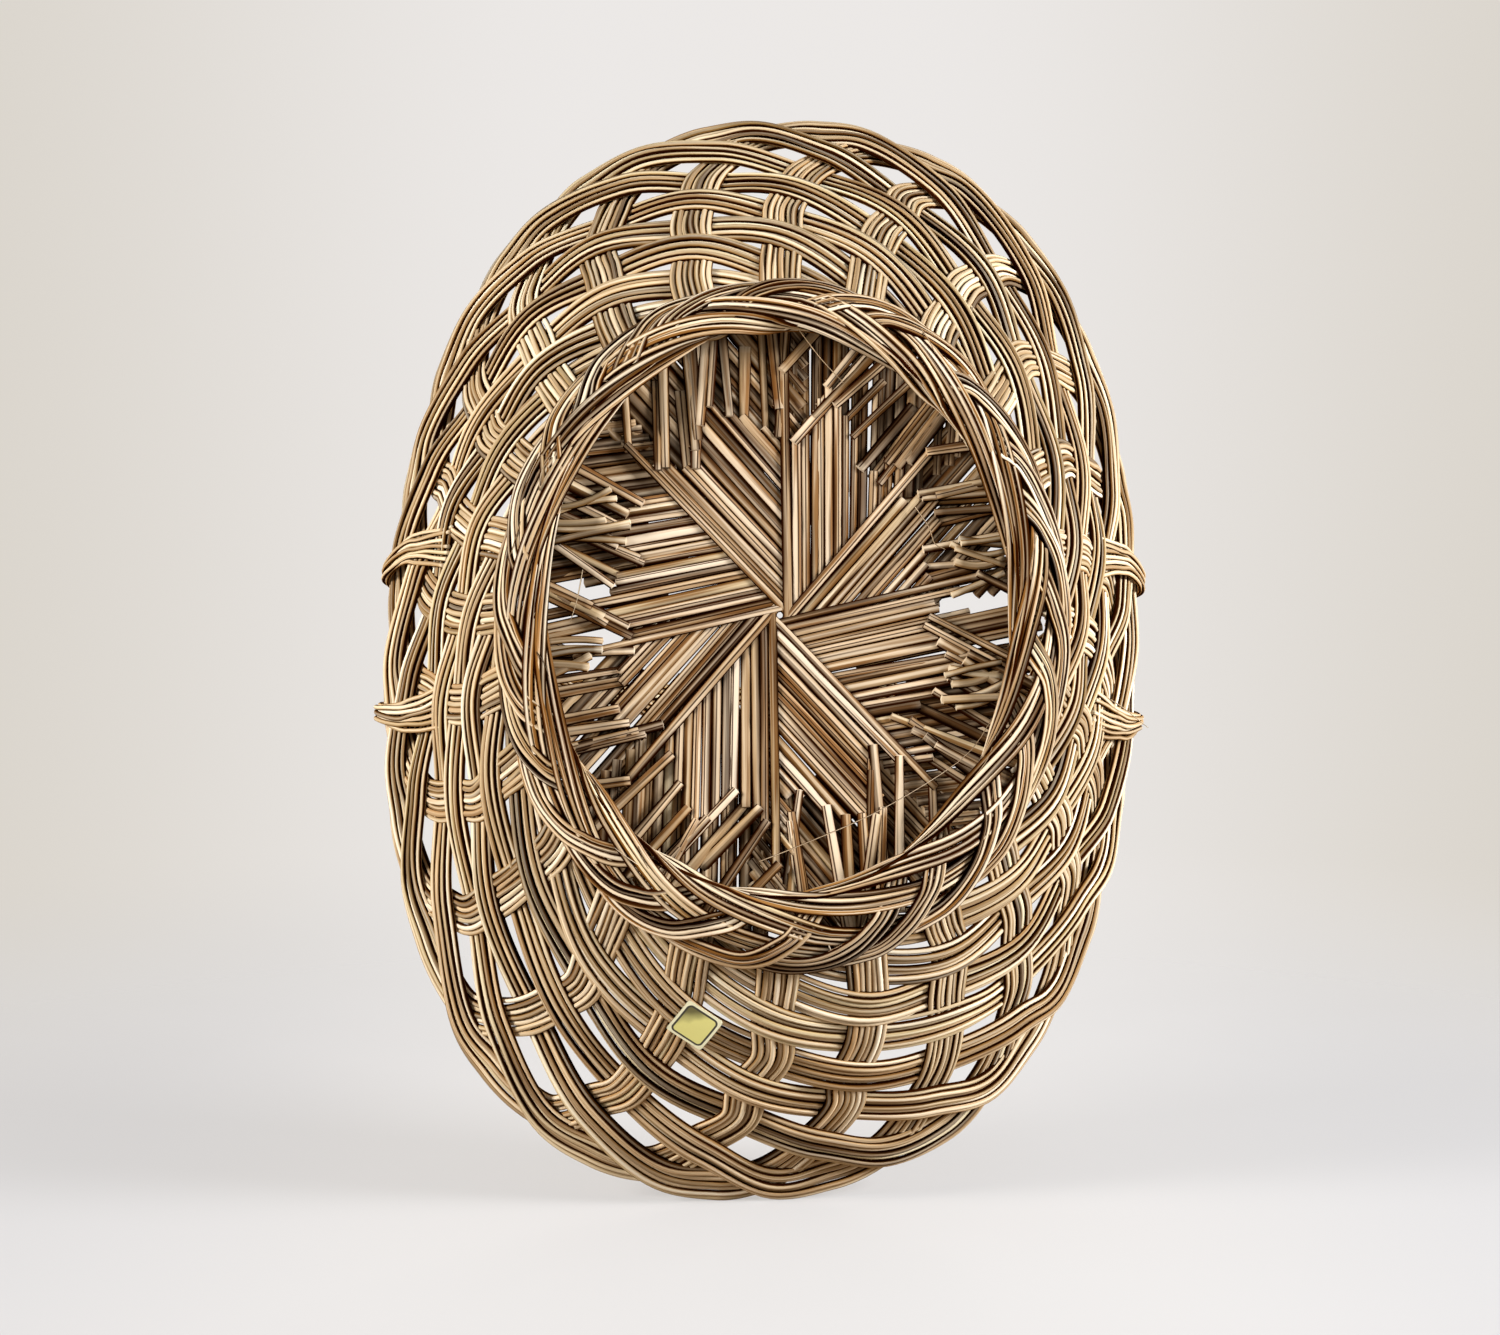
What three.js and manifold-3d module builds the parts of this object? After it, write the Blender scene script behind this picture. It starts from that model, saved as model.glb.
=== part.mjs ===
// Oval basket of round palm ribs, worked in bundles, standing on its foot.
// The origin is under the middle of the foot, X is the long axis and +Z is up.
import * as THREE from "three";
import Module from "manifold-3d";

const { lerp, degToRad } = THREE.MathUtils;
const turn = 2 * Math.PI;

// Driving dimensions, in millimetres
const rimLength = 414; // oval along the middle of the rim arches
const rimWidth = 283;
const rimHeight = 90;
const wallLength = 248; // oval where the wall leaves the base
const wallWidth = 202;
const wallHeight = 17;
const bundleThickness = 2;
const weaveGap = 1.8; // between neighbouring weavers
const weaveClearance = 0.5; // between bundles that cross
const stakeSwing = 0.4; // how far a stake sways each way as it passes the weavers
const crossingMargin = 0.1; // a bundle stays level this far past the edges of the one it crosses
const seatGap = 0.3; // between pieces that rest on each other
const baseDrop = 2.7; // underside of the base below the foot of the wall
const fanThickness = 2.4; // a base fan where it shows below
const tuckThickness = 1.4; // the ribs that lie behind the fans
const baseHole = 3; // small opening that the fans leave at the middle
const fanGap = 0.4; // between neighbouring base fans
const footLength = 203; // opening of the foot at the table
const footWidth = 166;
const footEdgeWidth = 11;
const footEdgeHeight = 8;
const footBraidWidth = 13;
const handleHeight = 262; // top of the handle's middle line above the table
const handleBundleDiameter = 8.4;
const lashingDiameter = 4.4;
const labelSide = 14;
const labelThickness = 0.4;

// Counts and proportions of the weave
const stakeCount = 24;
const crossings = 6; // weavers that each stake passes below the rim
const bowShare = 0.25; // the wall spreads first and climbs later
const crowdShare = 0.1; // the stakes stand evenly along the rim, closer in angle on the long sides
const rimFullness = 0.047; // the rim's oval swells on its diagonals by this share of its size
const rimSkew = 0.024; // more on one diagonal and less on the other
const firstLevel = 0.115; // height of the lowest crossing, as a share of the wall
const levelStep = 0.137;
const topLean = 0.62; // sideways lean of a stake at its top crossing, of the stake spacing
const leanExponent = 2.4;
const archTopShare = 1.5; // sideways reach of the rim arch's top, as a share of the stake spacing
const weaverStakeCount = 7; // stakes from a bundle's own foot to its tucked end
const fanAngles = [-1, 40, 76, 136]; // leading edges of the base fans, in degrees, half a turn of them
const tuckAngle = degToRad(8); // a fan's inner ends pass this far behind the next fan's leading edge
const kinkShare = 0.55; // the fans' ribs kink here, of the base's size, and cross others behind them
const handleSpreadShare = 0.8; // handle foot from the middle of the long side, of the stake spacing
const handleTwists = 3;
const twistStart = degToRad(48); // where the two handle bundles meet, from the rim up the hoop
const ringSteps = 48;

const colours = {
  wall: 0xb08d5b,
  base: 0x94754a,
  foot: 0xa07f50,
  handle: 0xab8858,
  label: 0xc9a63c,
};

const wasm = await Module();
wasm.setup();
const basket = new THREE.Group();

function addPiece(name, geometry, slot) {
  const finish = slot === "label" ? { roughness: 0.3, metalness: 0.8 } : { roughness: 0.6, metalness: 0 };
  const material = new THREE.MeshStandardMaterial({ color: colours[slot], ...finish });
  const mesh = new THREE.Mesh(geometry, material);
  mesh.name = name;
  basket.add(mesh);
  return mesh;
}

// Wall surface: u counts stakes round the oval, v runs from the base (0) to the rim arches (1)
function wallFrame(u, v) {
  const even = (u * turn) / stakeCount;
  const angle = even + crowdShare * Math.sin(2 * even);
  const angleRate = (turn / stakeCount) * (1 + 2 * crowdShare * Math.cos(2 * even));
  const bow = bowShare * v * (1 - v);
  const bowRate = bowShare * (1 - 2 * v);
  const a = lerp(wallLength, rimLength, v + bow) / 2;
  const b = lerp(wallWidth, rimWidth, v + bow) / 2;
  const z = lerp(wallHeight, rimHeight, v - bow);
  const c = Math.cos(angle);
  const s = Math.sin(angle);
  // the base's oval is plain, and the swelling grows from there to the rim
  const diagonal = Math.sin(2 * angle);
  const swell = diagonal * (rimSkew + rimFullness * diagonal);
  const swellRate = 2 * Math.cos(2 * angle) * (rimSkew + 2 * rimFullness * diagonal) * (v + bow);
  const size = 1 + swell * (v + bow);
  const point = new THREE.Vector3(a * c * size, b * s * size, z);
  const around = new THREE.Vector3(a * (swellRate * c - size * s), b * (swellRate * s + size * c), 0);
  around.multiplyScalar(angleRate);
  const spreadX = ((rimLength - wallLength) / 2) * size + a * swell;
  const spreadY = ((rimWidth - wallWidth) / 2) * size + b * swell;
  const up = new THREE.Vector3(
    spreadX * (1 + bowRate) * c,
    spreadY * (1 + bowRate) * s,
    (rimHeight - wallHeight) * (1 - bowRate),
  );
  const out = around.clone().cross(up).normalize();
  return { point, around, up, out };
}

function wallPoint(u, v, lift) {
  const { point, out } = wallFrame(u, v);
  return point.addScaledVector(out, lift);
}

// Real direction of a step (du, dv) on the wall
function wallStep(frame, step) {
  return new THREE.Vector3().addScaledVector(frame.around, step.x).addScaledVector(frame.up, step.y);
}

// Closed body through a row of sections with the same number of corners each
function loft(sections, isRing) {
  const corners = sections[0].length;
  const positions = sections.flat().flatMap((p) => [p.x, p.y, p.z]);
  const index = [];
  if (!isRing) {
    const last = (sections.length - 1) * corners;
    for (let j = 1; j < corners - 1; j++) {
      index.push(0, j + 1, j, last, last + j, last + j + 1);
    }
  }
  const spans = isRing ? sections.length : sections.length - 1;
  for (let i = 0; i < spans; i++) {
    const here = i * corners;
    const next = ((i + 1) % sections.length) * corners;
    for (let j = 0; j < corners; j++) {
      const k = (j + 1) % corners;
      index.push(here + j, here + k, next + k, here + j, next + k, next + j);
    }
  }
  const geometry = new THREE.BufferGeometry();
  geometry.setAttribute("position", new THREE.Float32BufferAttribute(positions, 3));
  geometry.setIndex(index);
  geometry.computeVertexNormals();
  return geometry;
}

// Round bar along a smooth line through the given points
function bar(points, diameter, sides, steps) {
  const section = new THREE.Shape();
  for (let i = 0; i < sides; i++) {
    const angle = (i * turn) / sides;
    const x = (diameter / 2) * Math.cos(angle);
    const y = (diameter / 2) * Math.sin(angle);
    if (i === 0) section.moveTo(x, y);
    else section.lineTo(x, y);
  }
  const extrudePath = new THREE.CatmullRomCurve3(points);
  return new THREE.ExtrudeGeometry(section, { steps, extrudePath, bevelEnabled: false });
}

// Weave: each bundle climbs as a stake, arches over the rim and comes down as a weaver
const level = (m) => firstLevel + m * levelStep;
const lean = (v) => topLean * (v / level(crossings - 1)) ** leanExponent;
const layerPitch = bundleThickness + weaveClearance;
const weaverSwing = layerPitch - stakeSwing;
const rimLayers = [-stakeSwing, weaverSwing, weaverSwing + layerPitch]; // inside, middle and outside

const bundlePath = new THREE.SplineCurve();
for (let m = 0; m < crossings; m++) {
  bundlePath.points.push(new THREE.Vector2(lean(level(m)), level(m)));
}
bundlePath.points.push(new THREE.Vector2(archTopShare, 1));
for (let m = crossings - 1; m >= 0; m--) {
  bundlePath.points.push(new THREE.Vector2(weaverStakeCount - m + lean(level(m)), level(m)));
}
const lastKnot = bundlePath.points.length - 1;
const pathAt = (knot) => bundlePath.getPoint(knot / lastKnot);
const runAt = (knot) => bundlePath.getTangent(knot / lastKnot);

// The weavers lie closest at the middle of the long sides, and the bundles are as wide as fits there
function leastPitch() {
  const knot = lastKnot - 2;
  const frame = wallFrame(stakeCount / 4, level(2));
  const run = wallStep(frame, runAt(knot));
  const rise = wallStep(frame, new THREE.Vector2(0, levelStep));
  return rise.cross(run).length() / run.length();
}
const bundleWidth = leastPitch() - weaveGap;

// Share of a step that moves the given distance square to a run
function squareShare(frame, step, run, distance) {
  const direction = wallStep(frame, run).normalize();
  return distance / wallStep(frame, step).cross(direction).length();
}

// Flat section of a bundle, laid along line, at its centre on the wall and its lift from it
function bundleSection(u, v, line, run, lift) {
  const share = squareShare(wallFrame(u, v), line, run, bundleWidth / 2);
  const du = line.x * share;
  const dv = line.y * share;
  const half = bundleThickness / 2;
  return [
    wallPoint(u - du, v - dv, lift + half),
    wallPoint(u + du, v + dv, lift + half),
    wallPoint(u + du, v + dv, lift - half),
    wallPoint(u - du, v - dv, lift - half),
  ];
}

// Two sections that hold a bundle level where it passes another one
function crossingSections(start, knot, otherKnot, side, lift) {
  const run = runAt(knot);
  const line = runAt(otherKnot).multiplyScalar(side);
  const { x, y } = pathAt(knot);
  const frame = wallFrame(start + x, y);
  const share = squareShare(frame, run, line, bundleWidth / 2 + crossingMargin);
  return [-share, share].map((s) =>
    bundleSection(start + x + run.x * s, y + run.y * s, line, run, lift),
  );
}

// Section of the rim arch, square to its run
function archSection(start, knot, lift) {
  const run = runAt(knot);
  const { x, y } = pathAt(knot);
  const frame = wallFrame(start + x, y);
  const across = wallStep(frame, run).cross(frame.out);
  const line = new THREE.Vector2(
    across.dot(frame.around) / frame.around.lengthSq(),
    across.dot(frame.up) / frame.up.lengthSq(),
  );
  return bundleSection(start + x, y, line, run, lift);
}

// Knots along the arch, each with its rim layer: it starts inside its neighbours and ends outside them
const archKnots = [
  [5.5, 0],
  [5.68, 0],
  [6, 1],
  [6.35, 1],
  [6.6, 2],
];

function bundleGeometry(start) {
  const sections = [];
  sections.push(bundleSection(start, 0, new THREE.Vector2(1, 0), runAt(0), stakeSwing));
  for (let m = 0; m < crossings; m++) {
    const lift = m % 2 === 0 ? stakeSwing : -stakeSwing;
    sections.push(...crossingSections(start, m, lastKnot - m, 1, lift));
  }
  for (const [knot, layer] of archKnots) {
    sections.push(archSection(start, knot, rimLayers[layer]));
  }
  for (let m = crossings - 1; m >= 0; m--) {
    const over = m === crossings - 1 ? rimLayers[2] : weaverSwing;
    const lift = m % 2 === 0 ? -weaverSwing : over;
    sections.push(...crossingSections(start, lastKnot - m, m, -1, lift));
  }
  return loft(sections, false);
}

for (let i = 0; i < stakeCount; i++) {
  addPiece(`rib_bundle_${String(i + 1).padStart(2, "0")}`, bundleGeometry(i), "wall");
}

// Base: a pinwheel of fans, each with its inner ends tucked behind the next fan's leading edge
const baseInset = bundleThickness / 2 + seatGap;
const baseLength = wallLength - 2 * baseInset;
const baseWidth = wallWidth - 2 * baseInset;
const baseUnder = wallHeight - baseDrop;
const fanTop = baseUnder + fanThickness;
const baseTop = fanTop + seatGap + tuckThickness;

// Distance from the middle to the base's edge
function baseReach(angle) {
  return 1 / Math.hypot((2 * Math.cos(angle)) / baseLength, (2 * Math.sin(angle)) / baseWidth);
}

// Upright solid over a sector of the base, with half a gap left free along each straight edge
function sectorSolid(from, to, innerShare, outerShare, bottom, top) {
  const steps = Math.max(2, Math.ceil(((to - from) / turn) * ringSteps));
  const arc = (share) => {
    const distance = (angle) => Math.max(share * baseReach(angle), baseHole / 2);
    const first = from + fanGap / 2 / distance(from);
    const last = to - fanGap / 2 / distance(to);
    const points = [];
    for (let i = 0; i <= steps; i++) {
      const angle = lerp(first, last, i / steps);
      points.push([distance(angle) * Math.cos(angle), distance(angle) * Math.sin(angle)]);
    }
    return points;
  };
  const outline = [...arc(outerShare), ...arc(innerShare).reverse()];
  return wasm.Manifold.extrude([outline], top - bottom).translate(0, 0, bottom);
}

function fanGeometry(from, to) {
  const tuckReach = kinkShare - fanGap / baseReach(to);
  const fan = sectorSolid(from, to, 0, 1, baseUnder, fanTop);
  const outerRibs = sectorSolid(from, to, kinkShare, 1, baseUnder, baseTop);
  const tuckRoot = sectorSolid(to - tuckAngle, to, 0, tuckReach, baseUnder, baseTop);
  const tuck = sectorSolid(to - tuckAngle, to + tuckAngle, 0, tuckReach, fanTop + seatGap, baseTop);
  const { vertProperties, triVerts } = wasm.Manifold.union([fan, outerRibs, tuckRoot, tuck]).getMesh();
  const geometry = new THREE.BufferGeometry();
  geometry.setAttribute("position", new THREE.Float32BufferAttribute(vertProperties, 3));
  geometry.setIndex([...triVerts]);
  geometry.computeVertexNormals();
  return geometry;
}

const leadingEdges = [0, 180, 360].flatMap((half) => fanAngles.map((angle) => degToRad(angle + half)));
for (let i = 0; i < 2 * fanAngles.length; i++) {
  addPiece(`base_fan_${i + 1}`, fanGeometry(leadingEdges[i], leadingEdges[i + 1]), "base");
}

// Foot: a flat edge roll on the table and a braid between it and the base
function ovalRing(profile) {
  const sections = [];
  for (let i = 0; i < ringSteps; i++) {
    const angle = (i * turn) / ringSteps;
    const c = Math.cos(angle);
    const s = Math.sin(angle);
    const normal = new THREE.Vector2(footWidth * c, footLength * s).normalize();
    sections.push(
      profile.map(
        ([out, z]) =>
          new THREE.Vector3((footLength / 2) * c + out * normal.x, (footWidth / 2) * s + out * normal.y, z),
      ),
    );
  }
  return loft(sections, true);
}

const footReach = (wallLength - footLength) / 2; // the braid's top lies under the foot of the wall
const braidBottom = footEdgeHeight + seatGap;
const braidTop = baseUnder - seatGap;
const edgeSlope = footEdgeWidth / 4;
addPiece(
  "foot_edge_roll",
  ovalRing([
    [0, 0],
    [edgeSlope, footEdgeHeight],
    [footEdgeWidth + edgeSlope, footEdgeHeight],
    [footEdgeWidth, 0],
  ]),
  "foot",
);
addPiece(
  "foot_braid",
  ovalRing([
    [edgeSlope, braidBottom],
    [footReach - footBraidWidth, braidTop],
    [footReach, braidTop],
    [edgeSlope + footBraidWidth, braidBottom],
  ]),
  "foot",
);

// Handle: two bundles that stand inside the wall, rise as a hoop and twist together at the top
const handleRadius = handleBundleDiameter / 2;
const wallInside = -(weaverSwing + bundleThickness / 2);
const wallOutside = rimLayers[2] + bundleThickness / 2;
const legLift = wallInside - seatGap - handleRadius;
const legU = stakeCount / 4 - handleSpreadShare;
const legLevels = [0.3, 0.48, 0.66, 0.84, 1]; // from the leg's tip up to the rim
const hoopSteps = 36;
const twistReach = handleRadius + weaveClearance; // each bundle from the middle of the twist

function handlePoints() {
  const leg = legLevels.map((v) => wallPoint(legU, v, legLift));
  const farLeg = legLevels.map((v) => wallPoint(-legU, v, legLift)).reverse();
  const rims = [leg[leg.length - 1], farLeg[0]];
  const halfSpan = (rims[0].y - rims[1].y) / 2;
  const shift = (rims[0].y + rims[1].y) / 2;
  const hoop = [];
  for (let i = 1; i < hoopSteps; i++) {
    const angle = (i / hoopSteps) * Math.PI;
    const nearest = Math.min(angle, Math.PI - angle);
    const join = Math.sin((Math.min(nearest / twistStart, 1) * Math.PI) / 2);
    const rim = rims[angle < Math.PI / 2 ? 0 : 1];
    const rise = handleHeight - rim.z;
    const reach = lerp(rim.x, twistReach, join);
    const share = THREE.MathUtils.clamp((angle - twistStart) / (Math.PI - 2 * twistStart), 0, 1);
    const twist = share * handleTwists * turn;
    const outward = new THREE.Vector3(0, rise * Math.cos(angle), halfSpan * Math.sin(angle)).normalize();
    const y = halfSpan * Math.cos(angle) + lerp(shift, 0, join);
    const middle = new THREE.Vector3(0, y, rim.z + rise * Math.sin(angle));
    middle.addScaledVector(outward, reach * Math.sin(twist));
    middle.x = reach * Math.cos(twist);
    hoop.push(middle);
  }
  return [...leg, ...hoop, ...farLeg];
}

const handleGeometry = bar(handlePoints(), handleBundleDiameter, 8, 84);
addPiece("handle_bundle_1", handleGeometry, "handle");
addPiece("handle_bundle_2", handleGeometry, "handle").rotation.z = Math.PI;

// Lashings: from the outside of the wall over the rim, beside the leg, and back across it inside.
// Each row of the route has the share of the sideways clearance, the height on the wall and the lift.
const lashingRadius = lashingDiameter / 2;
const lashingGap = seatGap + lashingRadius;
const legFace = legLift - handleRadius;

const lashingClear = handleRadius + 2 * lashingGap; // sideways from the middle of the leg

function lashingPoints(u, side) {
  const { around, up } = wallFrame(u, 1);
  const overRim = 1 + (bundleWidth / 2 + lashingGap) / up.length();
  const outside = wallOutside + lashingGap;
  const inside = wallInside - lashingGap;
  const route = [
    [0, level(3.7), stakeSwing + bundleThickness / 2 + lashingGap],
    [0.1, level(4.3), outside],
    [0.6, 0.97, outside],
    [1, overRim - 0.01, wallOutside],
    [1.15, overRim, (wallOutside + wallInside) / 2],
    [1.15, overRim - 0.02, inside],
    [0.8, level(5.8), legLift - lashingGap],
    [-0.1, level(5), legFace - lashingGap],
    [-0.9, level(4.6), legLift - lashingGap],
    [-1.2, level(4.2), inside],
  ];
  const stakeLength = around.length();
  return route.map(([share, v, lift]) => wallPoint(u + (side * share * lashingClear) / stakeLength, v, lift));
}

const middles = [stakeCount / 4, (3 * stakeCount) / 4];
const lashings = middles.flatMap((u) => [
  [u - handleSpreadShare, 1],
  [u + handleSpreadShare, -1],
]);
lashings.forEach(([u, side], i) => {
  const geometry = bar(lashingPoints(u, side), lashingDiameter, 6, 30);
  addPiece(`handle_lashing_${i + 1}`, geometry, "handle");
});

// Small foil label on the wall near one end
const labelAngle = degToRad(192.3); // round the oval, counted as the stakes are
const labelLevel = 0.29;
const labelU = (labelAngle / turn) * stakeCount;
const labelTurn = degToRad(71);
const labelFrame = wallFrame(labelU, labelLevel);
const labelLift = weaverSwing + bundleThickness / 2 + seatGap + labelThickness / 2;
const label = addPiece("foil_label", new THREE.BoxGeometry(labelSide, labelSide, labelThickness), "label");
const labelAxes = new THREE.Matrix4().makeBasis(
  labelFrame.around.clone().normalize(),
  labelFrame.out.clone().cross(labelFrame.around).normalize(),
  labelFrame.out,
);
label.setRotationFromMatrix(labelAxes);
label.rotateZ(labelTurn);
label.position.copy(wallPoint(labelU, labelLevel, labelLift));

export default basket;
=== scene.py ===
import math

import bpy
import numpy as np
from mathutils import Matrix, Vector


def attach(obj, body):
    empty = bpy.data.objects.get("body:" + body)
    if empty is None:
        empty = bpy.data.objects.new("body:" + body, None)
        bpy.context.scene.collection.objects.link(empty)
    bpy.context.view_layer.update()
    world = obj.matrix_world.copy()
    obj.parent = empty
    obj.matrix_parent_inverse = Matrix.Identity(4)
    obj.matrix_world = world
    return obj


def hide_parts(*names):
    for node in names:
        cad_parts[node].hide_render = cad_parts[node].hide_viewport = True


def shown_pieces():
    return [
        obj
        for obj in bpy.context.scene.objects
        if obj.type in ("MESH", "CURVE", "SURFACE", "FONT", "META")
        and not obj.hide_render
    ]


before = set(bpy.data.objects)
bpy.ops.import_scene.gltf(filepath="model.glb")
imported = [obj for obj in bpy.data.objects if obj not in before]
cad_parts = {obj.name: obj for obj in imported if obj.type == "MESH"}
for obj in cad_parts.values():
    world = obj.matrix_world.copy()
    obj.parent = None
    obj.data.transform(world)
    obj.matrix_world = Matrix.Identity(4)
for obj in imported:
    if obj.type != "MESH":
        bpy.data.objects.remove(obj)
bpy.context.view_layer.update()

mm = 0.001
print("frame loaded,", len(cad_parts), "nodes")


# Shader writing

class Value:  # a socket that can be used in sums
    def __init__(self, finish, socket):
        self.finish = finish
        self.socket = socket

    def __add__(self, other):
        return self.finish.maths("ADD", self, other)

    def __sub__(self, other):
        return self.finish.maths("SUBTRACT", self, other)

    def __rsub__(self, other):
        return self.finish.maths("SUBTRACT", other, self)

    def __mul__(self, other):
        return self.finish.maths("MULTIPLY", self, other)

    __radd__ = __add__
    __rmul__ = __mul__


class Finish:
    def __init__(self, tree):
        self.tree = tree
        tree.nodes.clear()

    def node(self, kind, settings=None, inputs=None, output=0):
        made = self.tree.nodes.new(kind)
        for key, value in (settings or {}).items():
            if key == "stops":
                self.setStops(made.color_ramp, value)
            else:
                setattr(made, key, value)
        for key, value in (inputs or {}).items():
            if isinstance(value, Value):
                self.tree.links.new(value.socket, made.inputs[key])
            else:
                made.inputs[key].default_value = value
        return Value(self, made.outputs[output]) if made.outputs else None

    def setStops(self, ramp, stops):
        while len(ramp.elements) < len(stops):
            ramp.elements.new(1)
        for element, (place, colour) in zip(ramp.elements, stops):
            element.position = place
            element.color = (*colour, 1)

    def maths(self, operation, *values):
        return self.node("ShaderNodeMath", {"operation": operation}, dict(enumerate(values)))

    def vectorMaths(self, operation, *values, output=0):
        return self.node("ShaderNodeVectorMath", {"operation": operation}, dict(enumerate(values)), output)

    def remap(self, value, low, high, toLow=0, toHigh=1):
        return self.node("ShaderNodeMapRange", {"interpolation_type": "SMOOTHSTEP"}, {
            "Value": value, "From Min": low, "From Max": high, "To Min": toLow, "To Max": toHigh})

    def mixColour(self, blend, share, first, second):
        settings = {"data_type": "RGBA", "blend_type": blend, "clamp_factor": True}
        first, second = (c if isinstance(c, Value) else (*c, 1) for c in (first, second))
        return self.node("ShaderNodeMix", settings, {0: share, 6: first, 7: second}, output=2)

    def attribute(self, name):
        return self.node("ShaderNodeAttribute", {"attribute_name": name}, output=2)

    def combine(self, x, y, z):
        return self.node("ShaderNodeCombineXYZ", None, {"X": x, "Y": y, "Z": z})

    def split(self, vector):
        x = self.node("ShaderNodeSeparateXYZ", None, {0: vector})
        return x, Value(self, x.socket.node.outputs[1])

    def noise(self, vector, detail, scale=1):
        return self.node("ShaderNodeTexNoise", None, {"Vector": vector, "Scale": scale, "Detail": detail})

    def seenRays(self):  # 1 for what the camera sees, also in a reflection or through glass
        rays = self.node("ShaderNodeLightPath")
        seen = rays
        for name in ("Is Glossy Ray", "Is Transmission Ray"):
            seen = self.maths("MAXIMUM", seen, Value(self, rays.socket.node.outputs[name]))
        return seen


def newFinish(name):
    material = bpy.data.materials.new(name)
    material.use_nodes = True
    return material, Finish(material.node_tree)


# Palm rib: straw to brown by the rib, with fibres and lines along it, painted shade where it meets its
# neighbours and down its sides, a painted highlight along its top, and pale where it is cut
ribGrain = {
    "colours": [
        (0.0, (0.040, 0.014, 0.003)),
        (0.25, (0.165, 0.088, 0.030)),
        (0.5, (0.430, 0.285, 0.136)),
        (0.75, (0.750, 0.605, 0.415)),
        (1.0, (1.000, 0.920, 0.780)),
    ],
    # the colour for the seams is painted shade between neighbouring ribs
    "pale": (0.95, 0.87, 0.71), "gap": (0.06, 0.02, 0.003),
    # each pattern's waves in a metre of rib, and its step from rib to rib, so that no two are alike
    "fibreWaves": 30, "stainWaves": 14, "lineWaves": 12, "seamWaves": 9, "hueWaves": 2,
    "fibreStep": 91, "stainStep": 53, "lineStep": 37, "seamStep": 71, "hueStep": 67, "sideStep": 9,
    "stainAround": 0.8, "lineAround": 0.7,
    # what the rib's own tone, its stains and its fibres add to its brightness
    "toneShare": 0.95, "stainShare": 0.55, "fibreShare": 0.85, "darker": 0.645,
    "warm": (1.0, 0.91, 0.78), "warmFrom": (0.5, 0.75), "grey": (0.92, 0.96, 0.86), "greyFrom": (0.48, 0.25),
    # painted highlight along the top of each rib
    "highlightFrom": (0.8, 1), "highlightShare": 0.2,
    "darkLine": (0.36, 0.21, 0.08), "darkLineFrom": (0.5, 0.36),
    "paleLineFrom": (0.52, 0.66), "paleLineShare": 0.6,
    "cutFrom": (0.3, 0.6), "cutShare": (0.35, 0.8),
    "foldFrom": (0.46, 0.5), "foldPlace": 0.44, "foldDrift": 0.12, "foldWidth": (0.03, 0.008),
    "deepFrom": (0.44, 0.65), "deeper": (0.28, 0.34),  # where a seam's painted shade is wide, and how much it gains
    # painted shade down each rib's sides, then painted light towards the edge of the base
    "flankShadeFrom": (0.98, 0.4), "edgeLightFrom": (0.5, 0.8),
    "bump": 0.5, "bumpDepth": 0.25 * mm, "roughness": 0.7, "sheen": 0.3,
}
ribLooks = {
    "wall_ribs": {
        "seam": (0.32, 0.62), "tint": (0.96, 0.915, 0.84), "flankShade": (0.65, 0.45, 0.21),
        "streaks": 10, "lines": 0.5,
    },
    "base_ribs": {
        "seam": (0.52, 0.85), "tint": (0.785, 0.69, 0.605), "flankShade": (0.58, 0.38, 0.18),
        "streaks": 11, "lines": 0.9, "fold": 0.95,
        # painted light, lighter and warmer towards the edge of the base's oval, with one over its half length
        # and half width in metres
        "edgeLight": (1.12, 1.08, 1.0), "perHalf": (8.1, 10, 0),
    },
    "foot_ribs": {
        "seam": (0.54, 0.9), "tint": (0.95, 0.86, 0.755), "flankShade": (0.65, 0.45, 0.21),
        "streaks": 9, "lines": 1.3,
    },
    "handle_ribs": {
        "seam": (0.2, 0.55), "tint": (1, 0.94, 0.85), "flankShade": (0.65, 0.45, 0.21),
        "streaks": 10, "lines": 0.35,
    },
}


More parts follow.
